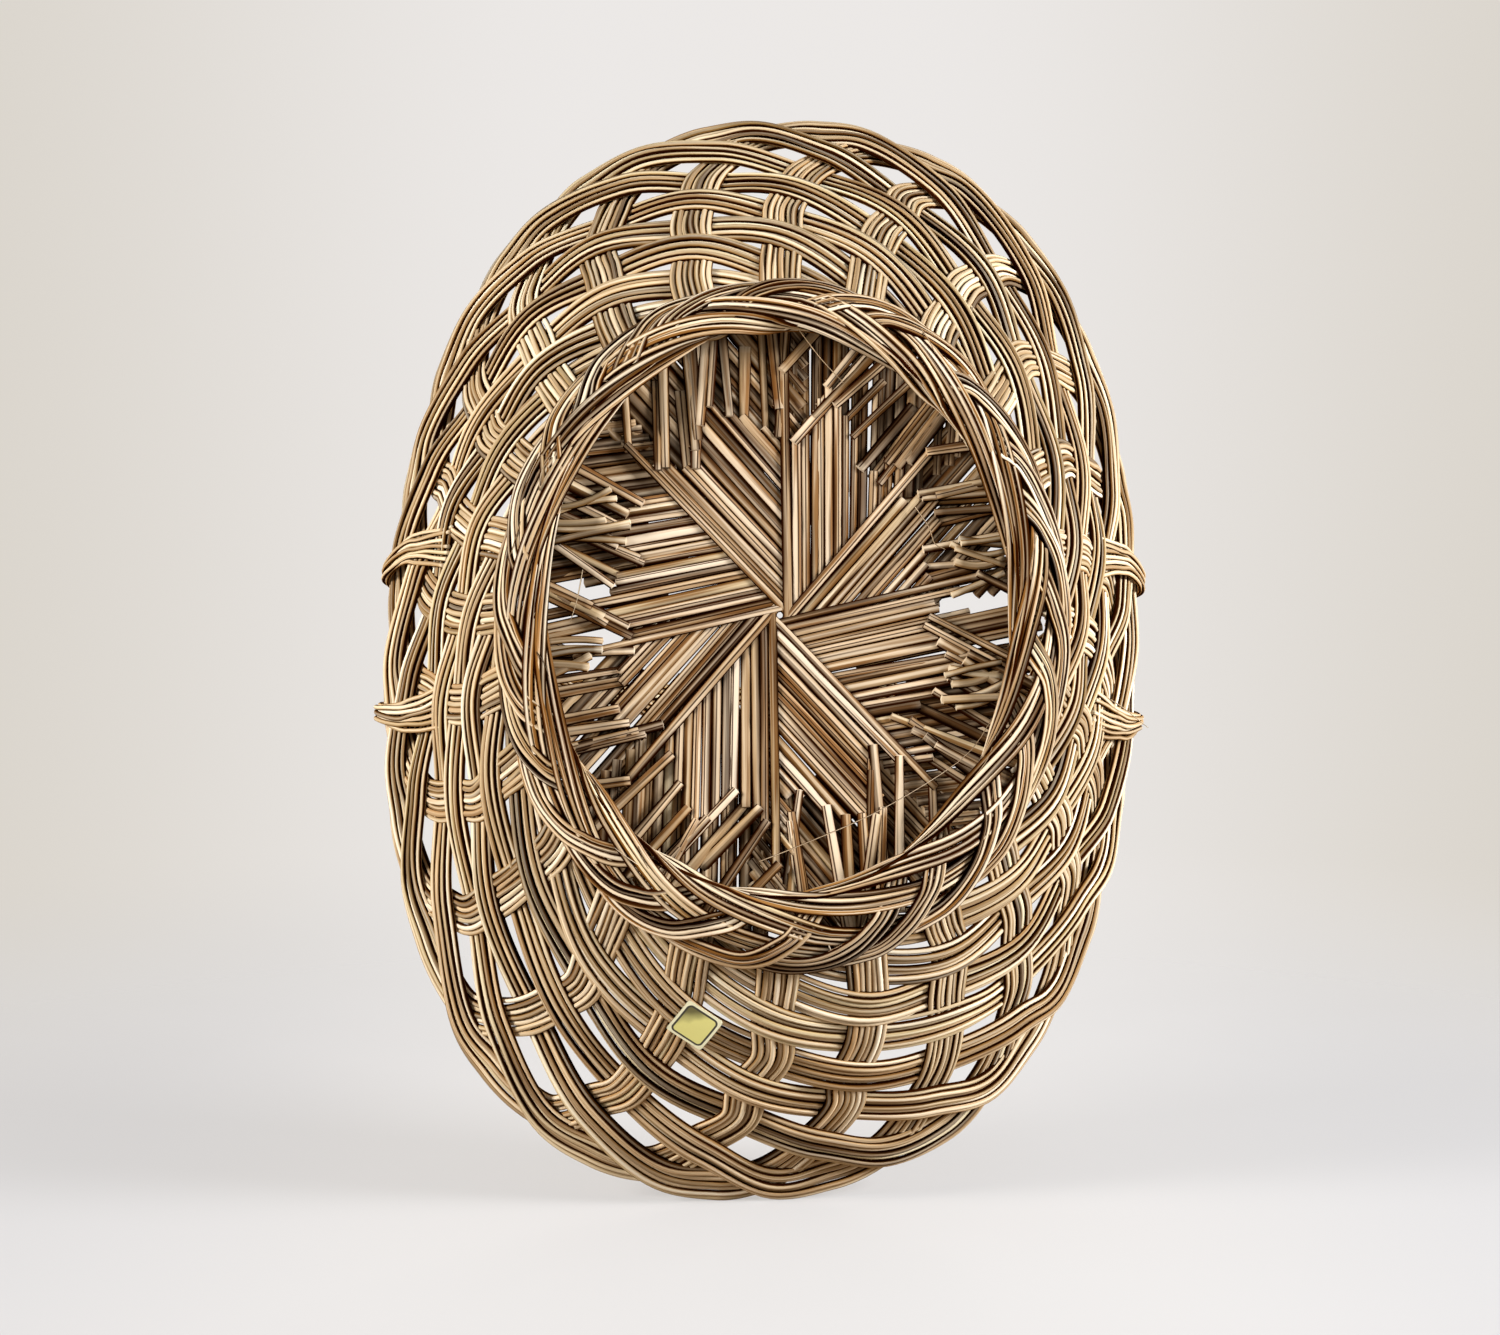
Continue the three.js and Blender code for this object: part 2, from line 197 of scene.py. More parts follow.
def ribFinish(name, look):
    g = ribGrain
    material, f = newFinish(name)
    tone = f.attribute("ribTone")
    pale = f.attribute("ribPale")
    along, around = f.split(f.node("ShaderNodeUVMap", {"uv_map": "ribUv"}))
    isLeft = f.maths("GREATER_THAN", around, 0.5)
    crest = f.maths("ABSOLUTE", f.maths("COSINE", around * (2 * math.pi)))  # 0 at the rib's sides
    fibre = f.noise(f.combine(along * g["fibreWaves"], around * look["streaks"], tone * g["fibreStep"]), 3)
    stain = f.noise(f.combine(along * g["stainWaves"], tone * g["stainStep"], around * g["stainAround"]), 2)
    hue = f.noise(f.combine(tone * g["hueStep"], along * g["hueWaves"], 0), 0)
    shade = tone * g["toneShare"] + stain * g["stainShare"] + fibre * g["fibreShare"] - g["darker"]
    straw = f.node("ShaderNodeValToRGB", {"stops": g["colours"]}, {0: shade})
    warm = f.mixColour("MULTIPLY", f.remap(hue, *g["warmFrom"]), straw, g["warm"])
    grey = f.mixColour("MULTIPLY", f.remap(hue, *g["greyFrom"]), warm, g["grey"])
    # painted highlight: the top of the rib is mixed towards pale
    crestHighlight = f.mixColour("MIX", f.remap(crest, *g["highlightFrom"], 0, g["highlightShare"]), grey, g["pale"])
    # light and dark lines along the rib
    lineStreaks = look["streaks"] * g["lineAround"]
    line = f.noise(f.combine(along * g["lineWaves"], around * lineStreaks, tone * g["lineStep"]), 2)
    isDark = f.remap(line, *g["darkLineFrom"]) * look["lines"]
    isPale = f.remap(line, *g["paleLineFrom"]) * (look["lines"] * g["paleLineShare"])
    lined = f.mixColour("MIX", isPale, f.mixColour("MULTIPLY", isDark, crestHighlight, g["darkLine"]), g["pale"])
    isCut = pale * f.remap(fibre, *g["cutFrom"], *g["cutShare"])
    colour = f.mixColour("MIX", isCut, lined, g["pale"])
    # painted shade in the seam beside a rib: a thin line in some places and a wide dark one in others
    seamSide = tone * g["seamStep"] + isLeft * g["sideStep"]
    deep = f.remap(f.noise(f.combine(along * g["seamWaves"], seamSide, 0), 1), *g["deepFrom"])
    low, high = (deep * more + start for more, start in zip(g["deeper"], look["seam"]))
    clear = f.remap(crest, low, high)
    if "fold" in look:  # painted shade along a fold in the middle of some ribs, as dark as a seam
        isFolded = f.remap(hue, *g["foldFrom"]) * look["fold"]
        fromFold = f.maths("ABSOLUTE", around - g["foldPlace"] - tone * g["foldDrift"])
        clear = clear * (1 - f.remap(fromFold, *g["foldWidth"]) * isFolded)
    # painted light: lighter and warmer towards the edge of the base's oval
    if "edgeLight" in look:
        place = f.node("ShaderNodeTexCoord", None, None, output=3)
        reach = f.vectorMaths("LENGTH", f.vectorMaths("MULTIPLY", place, look["perHalf"]), output=1)
        colour = f.mixColour("MULTIPLY", f.remap(reach, *g["edgeLightFrom"]), colour, look["edgeLight"])
    tinted = f.mixColour("MULTIPLY", 1, colour, look["tint"])
    # painted shade: the rib is darker down its sides
    rounded = f.mixColour("MULTIPLY", f.remap(crest, *g["flankShadeFrom"]), tinted, look["flankShade"])
    # painted shade in the seams between ribs
    seamShaded = f.mixColour("MULTIPLY", 1 - clear, rounded, g["gap"])
    bump = f.node("ShaderNodeBump", None, {
        "Strength": g["bump"], "Distance": g["bumpDepth"], "Height": fibre})
    surface = f.node("ShaderNodeBsdfPrincipled", None, {
        "Base Color": seamShaded, "Roughness": g["roughness"] - fibre * g["sheen"],
        "Specular IOR Level": 0, "Normal": bump})
    f.node("ShaderNodeOutputMaterial", None, {"Surface": surface})
    return material


ribFinishes = {slot: ribFinish(slot.replace("_ribs", "Ribs"), look) for slot, look in ribLooks.items()}
print("rib finishes made")


# Paths and ribs

def unit(vectors):
    return vectors / np.linalg.norm(vectors, axis=-1, keepdims=True)


def downwards(count):
    return np.tile([0.0, 0.0, -1.0], (count, 1))


def smoothPath(knots, places):  # a smooth line through the knots: place 1.5 is half way from knot 1 to knot 2
    knots = np.asarray(knots, float)
    last = len(knots) - 1
    i = np.clip(np.floor(places).astype(int), 0, last - 1)
    t = (places - i)[:, None]
    before, here, after = knots[np.maximum(i - 1, 0)], knots[i], knots[i + 1]
    beyond = knots[np.minimum(i + 2, last)]
    slopeHere, slopeAfter = (after - before) / 2, (beyond - here) / 2
    cubic = 2 * here - 2 * after + slopeHere + slopeAfter
    square = 3 * after - 3 * here - 2 * slopeHere - slopeAfter
    return ((cubic * t + square) * t + slopeHere) * t + here


def evenPath(knots, steps):
    return smoothPath(knots, np.linspace(0, len(knots) - 1, steps))


def easedSteps(table, places):  # values held at each place of the table, with a soft step between two places
    at, value = np.asarray(table, float).T
    i = np.clip(np.searchsorted(at, places, side="right") - 1, 0, len(at) - 2)
    t = np.clip((places - at[i]) / (at[i + 1] - at[i]), 0, 1)
    return value[i] + (value[i + 1] - value[i]) * t * t * (3 - 2 * t)


swayMix = {"parts": (0.6, 1, 1.7), "share": 1.7}  # three waves in one, and what their sum is divided by


def wobble(rng, count, size, waves):  # a slow sway along a rib
    t = np.linspace(0, 1, count)
    sway = sum(np.sin(2 * math.pi * (part * waves * t + rng.random())) for part in swayMix["parts"])
    return size * sway / swayMix["share"]


def drawTone(rng, tone, shift=0):
    return np.clip(rng.normal(*tone) + shift, 0, 1)


ribEnd = {"paleReach": 2.5 * mm, "bulge": 0.35}  # the bulge is a share of the rib's radius


def makeRib(points, out, radius, tone, wide=1.0, paleEnds=(0, 0)):
    count = len(points)
    far = np.r_[0, np.cumsum(np.linalg.norm(np.diff(points, axis=0), axis=1))]
    atStart, atEnd = (np.clip(1 - d / ribEnd["paleReach"], 0, 1) for d in (far, far[-1] - far))
    return {
        "points": points, "out": out, "tone": tone, "far": far,
        "radius": np.broadcast_to(radius, (count,)), "wide": np.broadcast_to(wide, (count,)),
        "pale": np.clip(paleEnds[0] * atStart + paleEnds[1] * atEnd, 0, 1),
    }


def ribPiece(name, ribs, sides, slot, nodes=(), square=2.0):  # square 2 is a round section, more is flatter
    co, faces, uv, tone, pale, isSmooth = [], [], [], [], [], []
    start = 0
    k = np.arange(sides)
    ahead = (k + 1) % sides
    phi = 2 * math.pi * (k / sides - 0.5)  # the seam of the UV map lies on the inner side
    across, aside = (np.sign(w) * np.abs(w) ** (2 / square) for w in (np.cos(phi), np.sin(phi)))
    for rib in ribs:
        points = rib["points"]
        count = len(points)
        tangent = unit(np.gradient(points, axis=0))
        side = unit(np.cross(tangent, rib["out"]))
        out = np.cross(side, tangent)
        sideways = rib["wide"][:, None, None] * aside[None, :, None] * side[:, None]
        spoke = across[None, :, None] * out[:, None] + sideways
        rings = points[:, None] + rib["radius"][:, None, None] * spoke
        bulge = np.array([[-1], [1]]) * ribEnd["bulge"] * rib["radius"][[0, -1], None]
        tips = points[[0, -1]] + tangent[[0, -1]] * bulge
        co.append(np.concatenate([rings.reshape(-1, 3), tips]))
        i = np.arange(count - 1)[:, None]
        near, far = start + i * sides, start + (i + 1) * sides
        quads = np.stack([near + k, near + ahead, far + ahead, far + k], -1).reshape(-1, 4)
        firstTip = start + count * sides
        lastRing = firstTip - sides
        startCap = np.stack([np.full(sides, firstTip), start + ahead, start + k], -1)
        endCap = np.stack([np.full(sides, firstTip + 1), lastRing + k, lastRing + ahead], -1)
        faces += quads.tolist() + startCap.tolist() + endCap.tolist()
        isSmooth += [True] * len(quads) + [False] * (2 * sides)
        length = rib["far"]
        u = np.stack([length[:-1], length[:-1], length[1:], length[1:]], -1)[:, None, :].repeat(sides, 1)
        v = np.stack([k, k + 1, k + 1, k], -1)[None].repeat(count - 1, 0) / sides
        uv.append(np.stack([u, v], -1).reshape(-1, 2))
        capUv = np.full((2 * sides * 3, 2), 0.5)
        capUv[:, 0] = np.repeat(length[[0, -1]], sides * 3)
        uv.append(capUv)
        tone.append(np.full(count * sides + 2, rib["tone"]))
        pale.append(np.r_[rib["pale"].repeat(sides), rib["pale"][[0, -1]]])
        start += count * sides + 2
    mesh = bpy.data.meshes.new(name)
    mesh.from_pydata(np.concatenate(co).tolist(), [], faces)
    mesh.uv_layers.new(name="ribUv").data.foreach_set("uv", np.concatenate(uv).ravel())
    for key, values in (("ribTone", tone), ("ribPale", pale)):
        mesh.attributes.new(key, "FLOAT", "POINT").data.foreach_set("value", np.concatenate(values))
    mesh.polygons.foreach_set("use_smooth", isSmooth)
    mesh.update()
    piece = bpy.data.objects.new(name, mesh)
    bpy.context.collection.objects.link(piece)
    mesh.materials.append(ribFinishes[slot])
    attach(piece, "root")
    if nodes:
        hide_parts(*nodes)


# Wall surface: u counts stakes round the oval, v runs from the base (0) to the middle of the rim arches (1)
wallShape = {
    "rimLength": 414 * mm, "rimWidth": 283 * mm, "rimHeight": 90 * mm,
    "baseLength": 248 * mm, "baseWidth": 202 * mm, "baseHeight": 17 * mm,
    "stakes": 24, "bow": 0.25, "crowd": 0.1,
    "fullness": 0.047, "skew": 0.024,  # towards the rim the oval swells on its diagonals, more on one of them
}


def wallFrame(u, v):
    w = wallShape
    u, v = np.broadcast_arrays(np.asarray(u, float), np.asarray(v, float))
    even = 2 * math.pi * u / w["stakes"]
    angle = even + w["crowd"] * np.sin(2 * even)
    angleRate = 2 * math.pi / w["stakes"] * (1 + 2 * w["crowd"] * np.cos(2 * even))
    bow = w["bow"] * v * (1 - v)
    bowRate = w["bow"] * (1 - 2 * v)
    spanX = (w["rimLength"] - w["baseLength"]) / 2
    spanY = (w["rimWidth"] - w["baseWidth"]) / 2
    rise = w["rimHeight"] - w["baseHeight"]
    a = w["baseLength"] / 2 + spanX * (v + bow)
    b = w["baseWidth"] / 2 + spanY * (v + bow)
    c, s = np.cos(angle), np.sin(angle)
    diagonal = np.sin(2 * angle)
    swell = diagonal * (w["skew"] + w["fullness"] * diagonal)
    swellRate = 2 * np.cos(2 * angle) * (w["skew"] + 2 * w["fullness"] * diagonal) * (v + bow)
    size = 1 + swell * (v + bow)
    point = np.stack([a * c * size, b * s * size, w["baseHeight"] + rise * (v - bow)], -1)
    around = np.stack([a * (swellRate * c - size * s), b * (swellRate * s + size * c), 0 * a], -1)
    spreadX, spreadY = spanX * size + a * swell, spanY * size + b * swell
    up = np.stack([spreadX * (1 + bowRate) * c, spreadY * (1 + bowRate) * s, rise * (1 - bowRate)], -1)
    return point, around * angleRate[..., None], up, unit(np.cross(around, up))


def wallPoints(u, v, lift):
    point, around, up, out = wallFrame(u, v)
    return point + out * np.asarray(lift)[..., None], out


# Rib bundles: each climbs as a stake, arches over the rim and comes down as a weaver
bundle = {
    "ribs": 7, "ribWidth": 2.4 * mm, "pitch": 0.95, "tipWidth": 0.94, "thicker": (1, 1.12), "sides": 8,
    "crossings": 6, "firstLevel": 0.115, "levelStep": 0.137, "topLean": 0.56, "leanPower": 2.4,
    "foot": (0, -0.03), "arch": [(0.96, 0.96), (1.42, 0.988), (1.93, 0.962)], "tail": (0.95, -0.02),
    "weaverStakes": 7, "weaverFrom": 7.5, "steps": 150,
    # height over the wall surface at each knot, in millimetres: stake, rim arch, weaver
    "lifts": [
        (0, 0.5), (1, 0.5), (2, -0.5), (3, 0.5), (4, -0.5), (5, 0.5), (6, -0.5), (7, 0.2), (8, 2.0), (9, 3.8),
        (10, 3.8), (11, -1.7), (12, 1.7), (13, -1.7), (14, 1.7), (15, -1.7), (16, -1.7),
    ],
    # the rim arches lean outwards, in degrees
    "roll": [(0, 0), (6, 0), (7, 14), (8, 20), (9, 14), (11, 0), (16, 0)],
    "uScatter": 0.035, "vScatter": 0.008, "settledKnots": 3,  # knots stray by chance, those of the foot less
    "sway": 0.22 * mm, "swayWaves": 5, "overSway": 0.154 * mm, "overWaves": 6, "stack": 0.8,
    "tone": (0.52, 0.22), "toneScatter": 0.05, "seed": 11,
}


def level(m):  # height of a crossing as a share of the wall
    return bundle["firstLevel"] + m * bundle["levelStep"]


def lean(v):
    return bundle["topLean"] * (v / level(bundle["crossings"] - 1)) ** bundle["leanPower"]


def bundleKnots():
    rows = range(bundle["crossings"])
    stake = [(lean(level(m)), level(m)) for m in rows]
    weaver = [(bundle["weaverStakes"] - m + lean(level(m)), level(m)) for m in reversed(rows)]
    tailU, tailV = bundle["tail"]
    tail = (bundle["weaverStakes"] + tailU, tailV)
    return np.array([bundle["foot"], *stake, *bundle["arch"], *weaver, tail])


def bundleRibs(index):
    rng = np.random.default_rng(bundle["seed"] + index)
    knots = bundleKnots()
    shift = rng.normal(0, bundle["uScatter"], len(knots))
    knots[:, 0] += index + shift * np.clip(np.arange(len(knots)) / bundle["settledKnots"], 0, 1)
    knots[1:-1, 1] += rng.normal(0, bundle["vScatter"], len(knots) - 2)
    places = np.linspace(0, len(knots) - 1, bundle["steps"])
    u, v = smoothPath(knots, places).T
    lift = easedSteps(bundle["lifts"], places) * mm
    point, around, up, out = wallFrame(u, v)
    middle = point + out * lift[:, None]
    tangent = unit(np.gradient(middle, axis=0))
    side = np.cross(tangent, out)
    roll = np.radians(easedSteps(bundle["roll"], places))[:, None]
    side, out = side * np.cos(roll) - out * np.sin(roll), out * np.cos(roll) + side * np.sin(roll)
    # a weaver is only as wide as its row, so its ribs lie closer and partly over each other
    widest = bundle["pitch"] * bundle["ribWidth"]
    room = np.linalg.norm(np.cross(up * bundle["levelStep"], tangent), axis=1)
    weaverPitch = np.minimum(room / bundle["ribs"], widest)
    isWeaver = np.clip(places - bundle["weaverFrom"], 0, 1)
    pitch = widest + (weaverPitch - widest) * isWeaver
    stack = bundle["stack"] * np.sqrt(np.maximum(bundle["ribWidth"] ** 2 - pitch ** 2, 0))
    bundleTone = rng.normal(0, bundle["toneScatter"])
    taper = bundle["ribWidth"] / 2 * np.linspace(1, bundle["tipWidth"], bundle["steps"])
    ribs = []
    for k in range(bundle["ribs"]):
        sway = wobble(rng, bundle["steps"], bundle["sway"], bundle["swayWaves"])
        aside = (k - (bundle["ribs"] - 1) / 2) * pitch + sway
        over = stack * (k % 2 - 0.5) + wobble(rng, bundle["steps"], bundle["overSway"], bundle["overWaves"])
        points = middle + side * aside[:, None] + out * over[:, None]
        radius = taper * rng.uniform(*bundle["thicker"])
        ribs.append(makeRib(points, out, radius, drawTone(rng, bundle["tone"], bundleTone)))
    return ribs


for i in range(wallShape["stakes"]):
    node = f"rib_bundle_{i + 1:02d}"
    ribPiece(f"ribBundle{i + 1:02d}", bundleRibs(i), bundle["sides"], "wall_ribs", [node])
print("rib bundles woven")


# Base: a pinwheel of fans. A rib starts under the next fan, lies along its own and folds at its outer end
base = {
    "edges": [-1, 40, 76, 136, 179, 220, 256, 316],  # leading edges in degrees, from +X towards +Y
    "length": 245.4 * mm, "width": 199.4 * mm, "height": 15.6 * mm,
    "ribWidth": 3.7 * mm, "widths": (0.75, 1.12), "mostRibs": 60, "tight": 0.9, "sides": 10, "square": 3.2,
    "ribHeight": 2.2 * mm, "heights": (0.9, 1.05), "sway": 0.12 * mm, "swayWaves": 3, "leastPoints": 4,
    "hole": 1.4 * mm, "tuck": 9 * mm, "dive": 1.9 * mm, "diveReach": 18 * mm,
    "fanOut": 0.25, "stray": 0.4,  # in degrees: how much each rib turns from the one before, and by chance
    "leadDrop": 1 * mm, "leadRibs": 3,  # the first ribs of a fan lie on top
    # where the ribs fold, as a share of the base's size: a wave from rib to rib, and the first one apart
    "kinkShare": (0.56, 0.7), "firstKink": 0.76, "kinkWave": 0.7, "waveStart": (0, 6), "kinkScatter": 0.015,
    "kinkTurn": 41, "turnScatter": 4, "leastRun": 3 * mm,
    # past the fold a rib is flatter and lies over or under its own straight part
    "legWidth": 1.35, "overlap": 1.5 * mm, "legRise": 2.2 * mm,
    "legLayers": [1.2 * mm, -0.9 * mm], "layerShares": [0.7, 0.3],
    "legEnd": 0.99, "shortLegs": 0.3, "shortLeg": (0.5, 0.75),
    "tone": (0.5, 0.25), "cracks": [0.1, 0.4, 0.9], "startPale": 0.2, "endPale": 0.8,
    "runPoints": 16, "legPoints": 12,
    # straight ribs behind them run on to the wall
    "behind": 0.99, "alwaysBehind": 3, "behindStart": (0.1, 0.5), "behindEnd": (0.93, 0.995),
    "behindAside": 0.15, "behindWidth": (1.05, 1.3), "behindDepth": (2.2 * mm, 2.6 * mm),
    # the ribs behind have a darker tone, which is painted shade
    "shadedBehindTone": (0.3, 0.25), "behindPoints": 14,
    # openings beside the handle feet, where ribs are cut short: middle and half size, in millimetres
    "windows": [((8, -70), (2.8, 7)), ((-9, -69), (3.4, 8)), ((5.5, 69), (2.6, 7))],
    "seed": 5, "seedStep": 10,
}


def ovalReach(origin, direction, share):  # how far a line runs to the base's oval at this share of its size
    scale = np.array([2 / base["length"], 2 / base["width"]]) / share
    o, d = origin * scale, direction * scale
    a, b, c = d @ d, o @ d, o @ o - 1
    root = b * b - a * c
    return (-b + math.sqrt(root)) / a if root > 0 else None


def cutAtWindows(flat):  # how many points come before the rib runs into an opening
    count = len(flat)
    for middle, half in np.array(base["windows"]) * mm:
        inside = np.all(np.abs(flat - middle) < half, axis=1)
        if inside.any():
            count = min(count, int(inside.argmax()))
    return count


def baseRib(rng, flat, z, width, tone, paleEnds):
    count = cutAtWindows(flat)
    if count < base["leastPoints"]:
        return []
    points = np.c_[flat, z + wobble(rng, len(flat), base["sway"], base["swayWaves"])][:count]
    radius = base["ribHeight"] / 2 * rng.uniform(*base["heights"])
    wide = np.broadcast_to(width / 2 / radius, (len(flat),))[:count]
    return [makeRib(points, downwards(count), radius, tone, wide, paleEnds)]


def kinkedRib(rng, start, run, inner, kink, bend, outerShare, lead, width):
    t, legT = np.linspace(0, 1, base["runPoints"]), np.linspace(0, 1, base["legPoints"])
    corner = start + kink * run
    out = np.array([math.cos(bend), math.sin(bend)])
    outer = (ovalReach(corner, out, base["legEnd"]) or 0) * outerShare
    flat = start + (inner + (kink + base["overlap"] - inner) * t)[:, None] * run
    leg = corner + (outer * legT - base["overlap"] * (1 - legT))[:, None] * out
    deep = np.clip(1 - t * (kink - inner) / base["diveReach"], 0, 1) ** 2
    z = base["height"] + base["dive"] * deep - base["leadDrop"] * lead
    layer = rng.choice(base["legLayers"], p=base["layerShares"])
    legZ = base["height"] + base["legRise"] * legT - (1 - legT) * (base["leadDrop"] * lead + layer)
    tone = drawTone(rng, base["tone"])
    crack = rng.choice(base["cracks"])
    legWidth = width * np.linspace(1, base["legWidth"], base["legPoints"])
    straight = baseRib(rng, flat, z, width, tone, (base["startPale"], crack))
    return straight + baseRib(rng, leg, legZ, legWidth, tone, (crack, base["endPale"]))


def fanRibs(index):
    rng = np.random.default_rng(base["seed"] + base["seedStep"] * index)
    edges = base["edges"] + [base["edges"][0] + 360]
    angle = math.radians(edges[index])
    spread = math.radians(edges[index + 1] - edges[index])
    run = np.array([math.cos(angle), math.sin(angle)])
    step = np.array([-run[1], run[0]])
    widths = base["ribWidth"] * rng.uniform(*base["widths"], base["mostRibs"])
    aside = base["hole"] + np.cumsum(widths * base["tight"]) - widths / 2
    ribs = []
    low, high = base["kinkShare"]
    wave = rng.uniform(*base["waveStart"])
    for j, width in enumerate(widths):
        start = aside[j] * step
        stray = math.radians(base["fanOut"] * j + rng.normal(0, base["stray"])) if j else 0
        along = run * math.cos(stray) + step * math.sin(stray)
        inner = (aside[j] * math.cos(spread) - base["hole"]) / math.sin(spread) - base["tuck"]
        kinkShare = low + (high - low) * (0.5 + 0.5 * math.sin(wave + base["kinkWave"] * j))
        kinkShare += rng.normal(0, base["kinkScatter"])
        kink = ovalReach(start, along, kinkShare if j else base["firstKink"])
        edge = ovalReach(start, along, rng.uniform(*base["behindEnd"]))
        if edge is None or edge < inner + base["tuck"]:
            break
        if kink and kink > inner + base["tuck"] + base["leastRun"]:
            bend = angle + math.radians(base["kinkTurn"] + rng.normal(0, base["turnScatter"]))
            outerShare = rng.uniform(*base["shortLeg"]) if rng.random() < base["shortLegs"] and j else 1
            lead = max(0, 1 - j / base["leadRibs"])
            ribs += kinkedRib(rng, start, along, inner, kink, bend, outerShare, lead, width)
            inner = inner + base["tuck"] + (kink - inner) * rng.uniform(*base["behindStart"])
        if rng.random() < base["behind"] or j < base["alwaysBehind"]:
            offset = width * rng.uniform(-base["behindAside"], base["behindAside"])
            flat = start + offset * step + np.linspace(inner, edge, base["behindPoints"])[:, None] * along
            z = base["height"] + np.linspace(*base["behindDepth"], base["behindPoints"])
            # painted shade: a darker tone for the ribs behind
            tone = drawTone(rng, base["shadedBehindTone"])
            wider = width * rng.uniform(*base["behindWidth"])
            ribs += baseRib(rng, flat, z, wider, tone, (base["startPale"], base["endPale"]))
    return ribs


for i in range(len(base["edges"])):
    ribPiece(f"baseFan{i + 1}", fanRibs(i), base["sides"], "base_ribs", [f"base_fan_{i + 1}"], base["square"])
print("base fans laid")


# Foot: strands that swing out to the wall, come back in under each other and run along the inner edge
foot = {
    "length": 212 * mm, "width": 175 * mm, "middle": (1.4 * mm, -1.4 * mm),
    "sideReach": 0.8, "lean": (-3.5 * mm, 3 * mm),  # narrower on the long sides, and a little askew
    # from the inner edge (0) to the wall (1): place, offset from the opening and height in millimetres
    "section": [
        (0, 0.4, 7.5), (0.12, 0.3, 4.4), (0.25, 2.6, 2.9), (0.4, 7.2, 2.7),
        (0.55, 11.8, 4.2), (0.7, 15.2, 7.0), (0.85, 18.7, 10.4), (1, 21.8, 13.8),
    ],
    "sectionSteps": 200,
    "ribs": 4, "ribWidth": 2.4 * mm, "flat": 1.3, "thinner": (0.9, 1.05), "pitch": 0.92, "pinch": 0.2,
    "sway": 0.2 * mm, "overSway": 0.15 * mm, "swayWaves": 2, "steps": 40, "sides": 8,
    # each strand: stakes along the ring, place across the section, height over it in millimetres
    "braid": [(0, 0.12, -2.2), (0.35, 0.36, -0.6), (0.8, 0.62, 1.3), (1.3, 0.84, 1.3), (1.9, 0.97, -0.4),
              (2.4, 0.95, -2.2)],
    "edge": [(1.8, 0.92, -2.0), (2.8, 0.76, -0.9), (4.0, 0.47, 1.0), (5.2, 0.25, 1.2), (6.4, 0.11, 0.3),
             (7.6, 0.03, -1.2)],
    "strands": 24, "edgeStrands": 15, "startScatter": 0.15, "placeScatter": 0.035,
    "tone": (0.52, 0.34), "paleEnds": (0.5, 0.5), "seed": 31,
}


def footPoints(s, w, lift):
    place, offset, height = np.array(foot["section"]).T
    fine = np.linspace(0, 1, foot["sectionSteps"])
    profile = smoothPath(np.stack([offset, height], -1), np.interp(fine, place, np.arange(len(place)))) * mm
    slope = unit(np.gradient(profile, axis=0))
    o, z = (np.interp(w, fine, profile[:, axis]) for axis in (0, 1))
    slopeO, slopeZ = (np.interp(w, fine, slope[:, axis]) for axis in (0, 1))
    angle = 2 * math.pi * s / foot["strands"]
    a, b = foot["length"] / 2, foot["width"] / 2
    cosine, sine = np.cos(angle), np.sin(angle)
    outward = unit(np.stack([b * cosine, a * sine], -1))
    o = o * (foot["sideReach"] + (1 - foot["sideReach"]) * cosine * cosine)
    normal = np.concatenate([outward * slopeZ[:, None], -slopeO[:, None]], 1)
    oval = np.stack([a * cosine, b * sine], -1) + outward * o[:, None]
    ring = oval + w[:, None] * np.array(foot["lean"]) + foot["middle"]
    return np.c_[ring, z] + normal * lift[:, None], normal


def footStrand(rng, knots, start):
    knots = np.array(knots)
    knots[:, 0] += start + rng.normal(0, foot["startScatter"])
    knots[:, 1] += rng.normal(0, foot["placeScatter"], len(knots))
    steps, waves = foot["steps"], foot["swayWaves"]
    s, w, lift = evenPath(knots, steps).T
    middle, normal = footPoints(s, np.clip(w, 0, 1), lift * mm)
    side = unit(np.cross(np.gradient(middle, axis=0), normal))
    pinch = 1 - foot["pinch"] + foot["pinch"] * np.sin(np.linspace(0, math.pi, steps))
    ribs = []
    for k in range(foot["ribs"]):
        aside = (k - (foot["ribs"] - 1) / 2) * foot["ribWidth"] * foot["pitch"] * pinch
        aside = aside + wobble(rng, steps, foot["sway"], waves)
        over = wobble(rng, steps, foot["overSway"], waves)
        points = middle + side * aside[:, None] + normal * over[:, None]
        radius = foot["ribWidth"] / 2 / foot["flat"] * rng.uniform(*foot["thinner"])
        points[:, 2] = np.maximum(points[:, 2], radius)
        tone = drawTone(rng, foot["tone"])
        ribs.append(makeRib(points, normal, radius, tone, foot["flat"], foot["paleEnds"]))
    return ribs


for name, knots, node, count in (("footBraid", foot["braid"], "foot_braid", foot["strands"]),
                                 ("footEdgeRoll", foot["edge"], "foot_edge_roll", foot["edgeStrands"])):
    rng = np.random.default_rng(foot["seed"])
    starts = np.arange(count) * foot["strands"] / count
    ribs = [rib for start in starts for rib in footStrand(rng, knots, start)]
    ribPiece(name, ribs, foot["sides"], "foot_ribs", [node])
print("foot braided")


# Handle: two round bundles that stand inside the wall, rise as a hoop and twist together at the top
handle = {
    "height": 262 * mm, "footU": 5.2, "legLift": -7.6 * mm, "legLevels": [0.3, 0.48, 0.66, 0.84, 1],
    "twistReach": 4.7 * mm, "twistStart": math.radians(48), "twists": 3, "hoopSteps": 36, "steps": 230,
    "ribWidth": 2.1 * mm, "thinner": (0.85, 1.0), "ownTurns": 2.5, "sides": 7,
    "rings": [(0, 1), (2.0 * mm, 6), (3.2 * mm, 9)],  # radius and ribs of each ring of the round bundle
    "turnSway": 0.12, "turnWaves": 4, "sway": 0.1 * mm, "swayWaves": 5,
    "tone": (0.5, 0.2), "paleEnds": (0.8, 0.8), "seed": 77,
}


